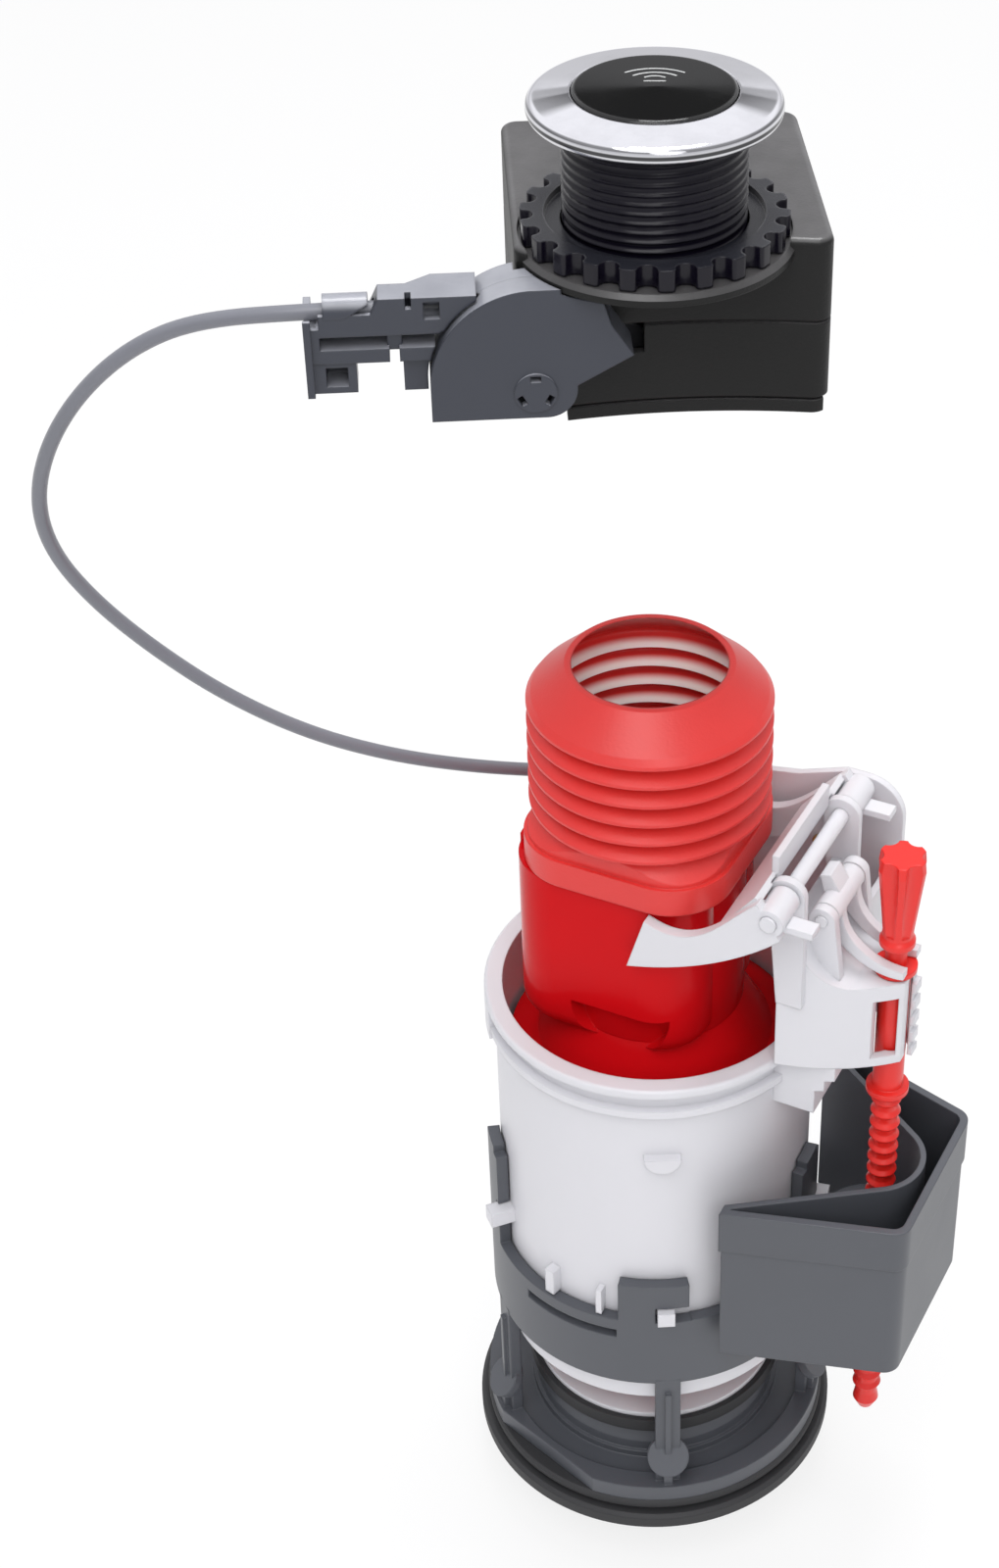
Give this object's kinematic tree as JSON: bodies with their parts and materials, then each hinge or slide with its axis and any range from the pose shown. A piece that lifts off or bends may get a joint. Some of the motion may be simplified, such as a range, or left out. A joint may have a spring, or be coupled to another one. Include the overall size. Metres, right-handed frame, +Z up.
{
  "type": "touchless flush system",
  "caption": "Touch-free toilet flush set: sensor button with battery case and threaded stem, a pull cable, and a float-timed flush valve with a bellows overflow tube.",
  "frame": {"origin": "valve axis at the underside of the outlet seal, where the valve meets the cistern floor", "axes": "+Z up along the valve axis, +X from the axis to the delay float and lever"},
  "size_m": [0.202, 0.1251, 0.4048],
  "materials": {
    "red_matte": "matte, moulded",
    "red_gloss": "glossy, moulded",
    "red_screw": "satin, moulded",
    "white": "satin, moulded",
    "slate": "satin, moulded",
    "slate_light": "satin, moulded",
    "rubber": "matte",
    "case_black": "fine spark-eroded grain",
    "black_gloss": "glossy, moulded",
    "lens_black": "polished",
    "ring_chrome": "polished plating",
    "cable_grey": "satin jacket",
    "steel": "zinc plated",
    "cell_shell": "plain sleeve",
    "board_green": "solder mask",
    "brass": "plain"
  },
  "bodies": {
    "housing": {"valve_cylinder": "white", "head_frame": "white", "fork_pin": "white", "latch_pin": "white", "cable_anchor": "white", "base_body": "slate", "pulley_housing": "slate_light", "pulley_cover": "slate_light", "cable_holder": "slate_light", "outlet_seal": "rubber", "upper_case": "case_black", "lower_case": "case_black", "battery_cover": "case_black", "threaded_shank": "black_gloss", "sensor_lens": "lens_black", "sensor_module": "lens_black", "bezel_ring": "ring_chrome", "cable_sheath": "cable_grey", "cover_screws": "steel", "gear_motor": "steel", "battery_cells": "cell_shell", "circuit_board": "board_green"},
    "valve": {"valve_tube": "red_gloss", "flush_seal": "rubber", "seal_clamp": "white", "overflow_bellows": "red_matte"},
    "fork": {"fork_lever": "white", "fork_nipple": "brass"},
    "quadrant": {"cable_quadrant": "slate_light", "quadrant_nipple": "brass"},
    "screw": {"float_screw": "red_screw"},
    "latch": {"latch_arm": "white"},
    "cup": {"float_cup": "slate"},
    "nut": {"lock_nut": "black_gloss"}
  },
  "joints": [
    {"name": "valve_lift", "type": "slide", "parent": "housing", "child": "valve", "axis": [0, 0, 1], "range_m": [0, 0.012]},
    {"name": "fork_pivot", "type": "hinge", "parent": "housing", "child": "fork", "pos_m": [0.0412, 0, 0.207], "axis": [0, 1, 0], "range_deg": [0, 21]},
    {"name": "quadrant_turn", "type": "hinge", "parent": "housing", "child": "quadrant", "pos_m": [-0.01467, -0.0266, 0.3312], "axis": [-0.5, 0.866, 0], "range_deg": [0, 18]},
    {"name": "screw_rise", "type": "slide", "parent": "housing", "child": "screw", "axis": [0, 0, 1], "range_m": [0, 0.004]},
    {"name": "latch_pivot", "type": "hinge", "parent": "housing", "child": "latch", "pos_m": [0.0475, 0, 0.197], "axis": [0, 1, 0], "range_deg": [-18, 0]},
    {"name": "cup_height", "type": "slide", "parent": "screw", "child": "cup", "axis": [0, 0, 1], "range_m": [-0.02, 0.008]},
    {"name": "nut_travel", "type": "slide", "parent": "housing", "child": "nut", "axis": [0, 0, 1], "range_m": [0, 0.018]}
  ],
  "couplings": [
    {"joint": "fork_pivot", "follows": "valve_lift", "rad_per_m": 29.5},
    {"joint": "quadrant_turn", "follows": "valve_lift", "rad_per_m": 25},
    {"joint": "latch_pivot", "follows": "screw_rise", "rad_per_m": -75}
  ]
}
